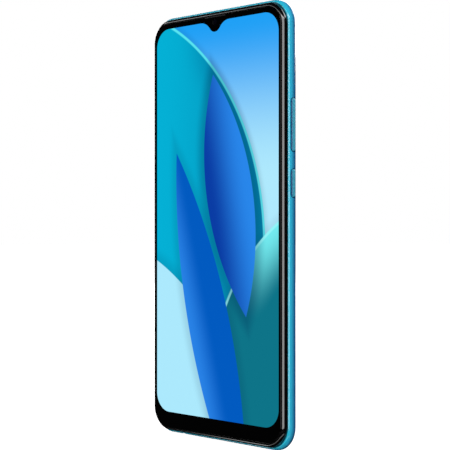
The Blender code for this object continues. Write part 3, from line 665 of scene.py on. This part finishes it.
def drop_side(steps=14):
    """Right half of the drop, from its lowest point up to where it meets the screen's top edge.

    An arc about the lens side of the drop runs into a fillet that ends level with the top edge."""
    centre_z = DROP_BOTTOM + DROP_RADIUS
    fillet = ((DROP_FLARE ** 2 + (SCREEN_TOP - centre_z) ** 2 - DROP_RADIUS ** 2)
              / (2 * (DROP_RADIUS + SCREEN_TOP - centre_z)))
    fillet_z = SCREEN_TOP - fillet
    join_angle = math.atan2(fillet_z - centre_z, DROP_FLARE)
    points = []
    for step in range(steps + 1):
        angle = math.radians(-90 + (math.degrees(join_angle) + 90) * step / steps)
        points.append((DROP_RADIUS * math.cos(angle), centre_z + DROP_RADIUS * math.sin(angle)))
    start = 180 + math.degrees(join_angle)
    for step in range(1, steps + 1):
        angle = math.radians(start + (90 - start) * step / steps)
        points.append((DROP_FLARE + fillet * math.cos(angle), fillet_z + fillet * math.sin(angle)))
    return points


def screen_outline():
    middle = (SCREEN_TOP + SCREEN_BOTTOM) / 2
    half_height = (SCREEN_TOP - SCREEN_BOTTOM) / 2
    frame_points = rounded(SCREEN_HALF_WIDTH, half_height, SCREEN_CORNER, 20, (0.0, middle))
    quarter = len(frame_points) // 4
    right = drop_side()
    left = [(-x, z) for x, z in right]
    drop = list(reversed(right)) + left[1:]
    return frame_points[:quarter] + drop + frame_points[quarter:]


def ring_of(shape, outline, depth):
    verts = [shape.verts.new(point_on("Y", a, b, depth)) for a, b in outline]
    edges = [shape.edges.new((verts[i], verts[(i + 1) % len(verts)])) for i in range(len(verts))]
    return verts, edges


def bridge(shape, near, far):
    for i in range(len(near)):
        j = (i + 1) % len(near)
        shape.faces.new((near[i], near[j], far[j], far[i]))


def earpiece_notch(outline, half_width, bottom):
    """The outline, with its top edge stepped down over half_width on each side of the middle."""
    top = max(z for _, z in outline)
    quarter = len(outline) // 4
    step_down = [(half_width, top), (half_width, bottom), (-half_width, bottom), (-half_width, top)]
    return outline[:quarter] + step_down + outline[quarter:]


def make_glass():
    """Front glass with its lit area, its black border and the window of the front camera."""
    shape = bmesh.new()
    rounding = 0.12
    rings = []
    for step in range(4):
        turn = math.radians(90 * step / 3)
        inset = GLASS_INSET + rounding * (1 - math.sin(turn))
        outline, depth = ring_section(inset, rounding * (1 - math.cos(turn)))
        rings.append(ring_of(shape, earpiece_notch(outline, NOTCH_HALF_WIDTH, NOTCH_BOTTOM), depth))
    outline, depth = ring_section(GLASS_INSET, GLASS_THICKNESS)
    rings.append(ring_of(shape, earpiece_notch(outline, NOTCH_HALF_WIDTH, NOTCH_BOTTOM), depth))
    for (near, _), (far, _) in zip(rings, rings[1:]):
        bridge(shape, near, far)
    shape.faces.new(rings[-1][0])
    screen, screen_edges = ring_of(shape, screen_outline(), 0.0)
    window, window_edges = ring_of(shape, circle(1.45, (0.0, LENS_Z), 40), 0.0)
    shape.faces.new(screen)
    bmesh.ops.triangle_fill(shape, use_beauty=True, edges=rings[0][1] + screen_edges + window_edges)
    well, _ = ring_of(shape, circle(1.4, (0.0, LENS_Z), 40), 0.2)
    bridge(shape, window, well)
    shape.faces.new(well)
    glass = mesh_object("cover_glass_and_screen", shape, MATERIALS["front_glass"])
    glass.data.materials.append(screen_material())
    for face in glass.data.polygons:
        if len(face.vertices) == len(screen):
            face.material_index = 1
    place(glass, replaces=["cover_glass"])
    dome = [(1.0, 0.19), (0.97, 0.13), (0.80, 0.105), (0.45, 0.09), (0.05, 0.085)]
    lens = turned("front_camera_glass", coated_lens("front_lens", 0.05), dome, (0.0, LENS_Z), 40)
    place(lens, replaces=["front_camera_lens"])


def coated_lens(name, strength):
    """Dark optical glass with a violet-blue coating that shows at a glance."""
    if name in bpy.data.materials:
        return bpy.data.materials[name]
    nodes = Nodes(name)
    weight = nodes.add("ShaderNodeLayerWeight")
    weight.inputs["Blend"].default_value = 0.35
    tint = nodes.ramp(weight.outputs["Facing"], [(0.0, linear(10, 12, 34)), (0.45, linear(44, 30, 92)),
                                                 (0.8, linear(16, 74, 110)), (1.0, linear(8, 10, 20))])
    coated = nodes.mix(strength, linear(2, 2, 5), tint)
    return nodes.set(Base_Color=coated, Roughness=0.03, Coat_Weight=1.0, Coat_Roughness=0.02)


# ---------------------------------------------------------------- keys and tray

def make_keys():
    for name, (centre_z, half_length) in KEYS.items():
        flange = key_outline(centre_z, half_length + 0.7, KEY_HALF_BREADTH - 0.1, 0.45)
        sections = [(flange, 35.3), (flange, 35.75)]
        sections.append((key_outline(centre_z, half_length, KEY_HALF_BREADTH), 35.76))
        rounding = 0.34
        for step in range(8):
            turn = math.radians(90 * step / 7)
            less = rounding * (1 - math.cos(turn))
            outline = key_outline(centre_z, half_length - less, KEY_HALF_BREADTH - less)
            sections.append((outline, KEY_FACE_X - rounding * (1 - math.sin(turn))))
        key = loft(f"{name}_cap", MATERIALS["key_blue"], sections, "X")
        place(key, name, replaces=[name])


def shell_half_width(depth):
    """Half width of the outside of the shell at a depth."""
    if depth < WIDEST_DEPTH:
        rise = (WIDEST_DEPTH - depth) / (WIDEST_DEPTH - LIP_DEPTH)
        return BODY_HALF_WIDTH - RING_INSET * (1 - math.sqrt(1 - rise * rise))
    rise = (depth - WIDEST_DEPTH) / (BODY_THICKNESS - WIDEST_DEPTH)
    return BODY_HALF_WIDTH - BACK_CURVE_WIDTH * (1 - math.sqrt(1 - rise * rise))


def make_tray():
    """Card tray: a door that follows the shell, and a steel-coloured plate with three card seats."""
    middle = ((DOOR_HIGH + DOOR_LOW) / 2, (DOOR_BACK + DOOR_FRONT) / 2)
    half = ((DOOR_HIGH - DOOR_LOW) / 2, (DOOR_BACK - DOOR_FRONT) / 2)
    shape = bmesh.new()
    rings = []
    for less, drawn_in in ((0.0, None), (0.0, 0.10), (0.03, 0.03), (0.10, 0.0)):
        outline = rounded(half[0] - less, half[1] - less, 0.95 - less, 8, middle)
        verts = []
        for z, depth in outline:
            x = DOOR_INNER_X if drawn_in is None else drawn_in + DOOR_SUNK - shell_half_width(depth)
            verts.append(shape.verts.new(Vector((x, FRONT_Y + depth, z)) * MM))
        rings.append(verts)
    for near, far in zip(rings, rings[1:]):
        bridge(shape, near, far)
    shape.faces.new(rings[0])
    shape.faces.new(rings[-1])
    door = mesh_object("tray_door", shape, MATERIALS["blue_shell"], 40)
    hole = tool("eject", circle(0.45, (EJECT_Z, EJECT_DEPTH), 24), -39.0, -35.0, "X")
    shape_with(door, [hole], sharp=40)
    place(door, "sim_tray", replaces=["sim_tray"])
    centre_z = (TRAY_LOW + TRAY_HIGH) / 2
    centre = ((TRAY_INNER_END + TRAY_START_X) / 2, centre_z)
    plate_outline = rounded((TRAY_INNER_END - TRAY_START_X) / 2, (TRAY_HIGH - TRAY_LOW) / 2, 0.8, 6, centre)
    plate = prism("tray_plate", MATERIALS["steel"], plate_outline, TRAY_FRONT, TRAY_BACK)
    tools = []
    for number, (low, high, half_z) in enumerate(CARD_SEATS):
        centre = ((high + low) / 2, centre_z)
        seat = rounded((high - low) / 2, half_z, 0.5, 4, centre)
        window = rounded((high - low) / 2 - SEAT_LEDGE, half_z - SEAT_LEDGE, 0.5, 4, centre)
        tools.append(tool(f"seat_{number}", seat, TRAY_FRONT + 0.35, 6.0))
        tools.append(tool(f"window_{number}", window, 3.5, 6.0))
    shape_with(plate, tools)
    place(plate, "sim_tray")


# ---------------------------------------------------------------- rear cameras

def make_island():
    centre = (ISLAND_X, ISLAND_Z)

    def section(inset, depth):
        half_width, half_height = ISLAND_HALF_WIDTH - inset, ISLAND_HALF_HEIGHT - inset
        return rounded(half_width, half_height, ISLAND_CORNER - inset, 16, centre), depth

    sections = [section(-0.8, 6.45), section(-0.8, 6.75), section(0.0, 6.75)]
    rounding = 0.55
    for step in range(9):
        turn = math.radians(90 * step / 8)
        depth = ISLAND_TOP - rounding * (1 - math.sin(turn))
        sections.append(section(rounding * (1 - math.cos(turn)), depth))
    sections.append(section(rounding + 0.5, ISLAND_TOP))
    island = loft("camera_plate", island_material(), sections)
    tools = [tool(f"{name}_seat", circle(radius + 1.02, (x, z)), 6.0, 10.0)
             for name, (x, z, radius) in CAMERAS.items()]
    tools.append(tool("flash_seat", circle(FLASH[2] + 0.1, FLASH[:2]), 6.0, 10.0))
    shape_with(island, tools)
    place(island, replaces=["camera_island"])
    for name, (x, z, radius) in CAMERAS.items():
        make_camera_front(name, (x, z), radius)
    make_flash_window()


def island_material():
    nodes = Nodes("camera_plate")
    noise = nodes.noise(0.12)
    return nodes.set(Base_Color=nodes.mix(noise, linear(8, 26, 44), linear(12, 36, 58)),
                     Roughness=nodes.fade(noise, 0.3, 0.7, 0.10, 0.16),
                     Coat_Weight=1.0, Coat_Roughness=0.03)


def make_camera_front(name, centre, radius):
    """Trim ring, baffle and front element of one rear camera."""
    top = BUMP_BACK
    ring = [(radius + 0.98, 8.2), (radius + 0.98, top - 0.12), (radius + 0.92, top - 0.03),
            (radius + 0.80, top), (radius + 0.42, top), (radius + 0.30, top - 0.04),
            (radius + 0.24, top - 0.14), (radius + 0.24, 8.2)]
    trim = turned(f"{name}_trim_ring", trim_material(), ring, centre, 80, closed=True)
    place(trim)
    steps = [(radius + 0.22, 8.0), (radius + 0.22, top - 0.22), (radius * 0.86, top - 0.24),
             (radius * 0.82, top - 0.42), (radius * 0.66, top - 0.46), (radius * 0.62, top - 0.62),
             (radius * 0.50, top - 0.66), (radius * 0.50, 8.0)]
    baffle = turned(f"{name}_baffle", MATERIALS["black_plastic"], steps, centre, 64, closed=True)
    place(baffle, replaces=[f"{name}_lens_window"])
    curve = []
    for step in range(9):
        turn = math.radians(90 * step / 9)
        curve.append((radius * 0.50 * math.cos(turn), top - 0.95 + 0.35 * math.sin(turn)))
    element = turned(f"{name}_front_element", coated_lens("rear_lens", 1.0), [(radius * 0.5, 8.1)] + curve,
                     centre, 64)
    place(element)


def trim_material():
    if "trim_metal" in bpy.data.materials:
        return bpy.data.materials["trim_metal"]
    return plain("trim_metal", linear(120, 150, 176), 0.18, 1.0, grain=1.0, spread=0.05, height=0.0)


def make_flash_window():
    """Flash window with the rings of a Fresnel lens."""
    x, z, radius = FLASH
    top = ISLAND_TOP - 0.06
    profile = [(radius, top - 0.6), (radius, top - 0.05), (radius - 0.06, top)]
    count = 6
    width = (radius - 0.3) / count
    for number in range(count):
        outer = radius - 0.2 - number * width
        profile.append((outer, top))
        profile.append((outer - width * 0.12, top - 0.09))
    profile.append((0.05, top - 0.01))
    window = turned("flash_lens", MATERIALS["flash_yellow"], profile, (x, z), 48)
    place(window, replaces=["flash_window"])


# ---------------------------------------------------------------- ports

BOX_FACES = (0, 1, 3, 2), (4, 5, 7, 6), (0, 1, 5, 4), (2, 3, 7, 6), (0, 2, 6, 4), (1, 3, 7, 5)


def make_ports():
    centre = (0.0, PORT_DEPTH)
    outer = rounded(4.47, 1.60, 1.56, 12, centre)
    lip = rounded(4.37, 1.50, 1.46, 12, centre)
    bore = rounded(4.17, 1.28, 1.24, 12, centre)
    port = loft("usb_port_shell", MATERIALS["steel"],
                [(outer, -73.6), (outer, -81.4), (lip, -81.5), (bore, -81.45), (bore, -74.8)], "Z")
    place(port, replaces=["usb_c_shell"])
    blade = rounded(3.35, 0.35, 0.3, 6, centre)
    tip = rounded(3.15, 0.20, 0.18, 6, centre)
    tongue = loft("usb_port_tongue", MATERIALS["black_plastic"],
                  [(blade, -74.95), (blade, -80.4), (tip, -80.6)], "Z")
    place(tongue, replaces=["usb_c_tongue"])
    shape = bmesh.new()
    for side in (-1, 1):
        for number in range(12):
            pad_x = (number - 5.5) * 0.5
            low, high = sorted((PORT_DEPTH + side * 0.34, PORT_DEPTH + side * 0.37))
            corners = [shape.verts.new(point_on("Z", pad_x + dx, depth, z))
                       for z in (-80.1, -76.0) for depth in (low, high) for dx in (-0.13, 0.13)]
            for face in BOX_FACES:
                shape.faces.new([corners[i] for i in face])
    pads = mesh_object("usb_port_contacts", shape, MATERIALS["brass"])
    place(pads)
    jack_centre = (JACK_X, PORT_DEPTH)
    body = prism("jack_body", MATERIALS["black_plastic"],
                 rectangle(JACK_X - 3.2, JACK_X + 3.2, 2.6, 6.55), -78.3, -67.4, "Z")
    nose = turned("tool_nose", MATERIALS["black_plastic"],
                  [(2.02, -77.5), (2.02, -81.3), (1.95, -81.5)], jack_centre, 48, along="Z")
    shape_with(body, [nose], "UNION")
    shape_with(body, [tool("jack_bore", circle(1.75, jack_centre, 48), -83.0, -68.5, "Z")])
    place(body, replaces=["headphone_jack"])
    sleeve = turned("jack_contact_sleeve", MATERIALS["steel"],
                    [(1.72, -81.2), (1.72, -78.8), (1.60, -78.8), (1.60, -81.2)],
                    jack_centre, 48, True, "Z")
    place(sleeve)


# ---------------------------------------------------------------- stage

def make_stage():
    scene = bpy.context.scene
    shape = bmesh.new()
    bmesh.ops.create_grid(shape, x_segments=2, y_segments=2, size=4.0)
    floor_look = Nodes("floor_white")
    tone = floor_look.noise(0.004)
    floor_look.set(Base_Color=floor_look.mix(tone, (0.30, 0.30, 0.30, 1.0), (0.34, 0.34, 0.34, 1.0)),
                   Roughness=0.9, Emission_Color=(1.0, 1.0, 1.0, 1.0), Emission_Strength=0.98)
    floor = mesh_object("studio_floor", shape, floor_look.material)
    floor.location.z = CAD_BOUNDS[0][2] - FLOOR_GAP * MM
    floor.visible_glossy = False
    floor.visible_diffuse = False
    make_world(scene)
    panel_light("front_panel", 31, 9, 1.3, (1.05, 1.5), 3.2)
    panel_light("left_side_panel", -124, 0, 1.3, (0.65, 0.9), 3.0)
    panel_light("back_panel", -176, 30, 1.4, (1.8, 1.0), 3.6)
    overhead = bpy.data.lights.new("overhead", "SUN")
    overhead.energy = 0.5
    overhead.angle = math.radians(60)
    overhead_lamp = bpy.data.objects.new("overhead", overhead)
    overhead_lamp.visible_glossy = False
    scene.collection.objects.link(overhead_lamp)


def make_world(scene):
    world = bpy.data.worlds.new("studio")
    world.use_nodes = True
    scene.world = world
    tree = world.node_tree
    path = tree.nodes.new("ShaderNodeLightPath")
    surround = tree.nodes["Background"]
    shown = tree.nodes.new("ShaderNodeMath")
    shown.operation = "MULTIPLY_ADD"
    tree.links.new(path.outputs["Is Camera Ray"], shown.inputs[0])
    shown.inputs[1].default_value = 1.0 - REFLECTED_LIGHT
    shown.inputs[2].default_value = REFLECTED_LIGHT
    soft = tree.nodes.new("ShaderNodeMath")
    soft.operation = "MULTIPLY_ADD"
    tree.links.new(path.outputs["Is Diffuse Ray"], soft.inputs[0])
    soft.inputs[1].default_value = AMBIENT_LIGHT
    tree.links.new(shown.outputs[0], soft.inputs[2])
    surround.inputs["Color"].default_value = (1.0, 1.0, 1.0, 1.0)
    strips = tree.nodes.new("ShaderNodeMath")
    strips.operation = "MULTIPLY_ADD"
    tree.links.new(path.outputs["Is Glossy Ray"], strips.inputs[0])
    tree.links.new(strip_light(tree), strips.inputs[1])
    tree.links.new(soft.outputs[0], strips.inputs[2])
    tree.links.new(strips.outputs[0], surround.inputs["Strength"])
    scene.view_settings.view_transform = "Standard"


def strip_light(tree):
    """Strength of two bright strips on the screen's side of the studio, one high and one low."""
    place_in_sky = tree.nodes.new("ShaderNodeTexCoord")
    split = tree.nodes.new("ShaderNodeSeparateXYZ")
    tree.links.new(place_in_sky.outputs["Generated"], split.inputs[0])

    def combine(operation, first, second):
        node = tree.nodes.new("ShaderNodeMath")
        node.operation = operation
        tree.links.new(first, node.inputs[0])
        tree.links.new(second, node.inputs[1])
        return node.outputs[0]

    def step(axis, start, end, highest=1.0):
        node = tree.nodes.new("ShaderNodeMapRange")
        node.interpolation_type = "SMOOTHSTEP"
        tree.links.new(split.outputs[axis], node.inputs["Value"])
        node.inputs["From Min"].default_value = start
        node.inputs["From Max"].default_value = end
        node.inputs["To Max"].default_value = highest
        return node.outputs[0]

    both = [combine("MULTIPLY", step("Z", low - 0.02, low + 0.02), step("Z", high + 0.02, high - 0.02))
            for low, high in STRIP_SINES]
    return combine("MULTIPLY", combine("ADD", *both), step("Y", 0.0, -0.2, STRIP_LIGHT))


def panel_light(name, azimuth, elevation, distance, size, radiance):
    """Soft panel aimed at the phone; azimuth 0 is in front of the screen and 90 is the key side."""
    light = bpy.data.lights.new(name, "AREA")
    light.shape = "RECTANGLE"
    light.size, light.size_y = size
    light.energy = radiance * math.pi * size[0] * size[1]
    lamp = bpy.data.objects.new(name, light)
    turn, rise = math.radians(azimuth), math.radians(elevation)
    lamp.location = Vector((math.sin(turn) * math.cos(rise), -math.cos(turn) * math.cos(rise),
                            math.sin(rise))) * distance
    lamp.rotation_euler = (-lamp.location).to_track_quat("-Z", "Y").to_euler()
    bpy.context.scene.collection.objects.link(lamp)


def make_camera():
    """Level camera to the front right of the phone, with a long lens."""
    data = bpy.data.cameras.new("camera")
    data.lens = CAMERA_LENS
    data.sensor_width = SENSOR_WIDTH
    data.clip_start = 0.01
    camera = bpy.data.objects.new("camera", data)
    camera.location = Vector((CAMERA_X, FRONT_Y + CAMERA_Y, 0.0)) * MM
    camera.rotation_euler = Vector(CAMERA_AIM).to_track_quat("-Z", "Y").to_euler()
    bpy.context.scene.collection.objects.link(camera)
    bpy.context.scene.camera = camera


make_camera()
dress_cad_nodes()
make_shell()
make_ring()
make_glass()
make_keys()
make_tray()
make_island()
make_ports()
make_stage()
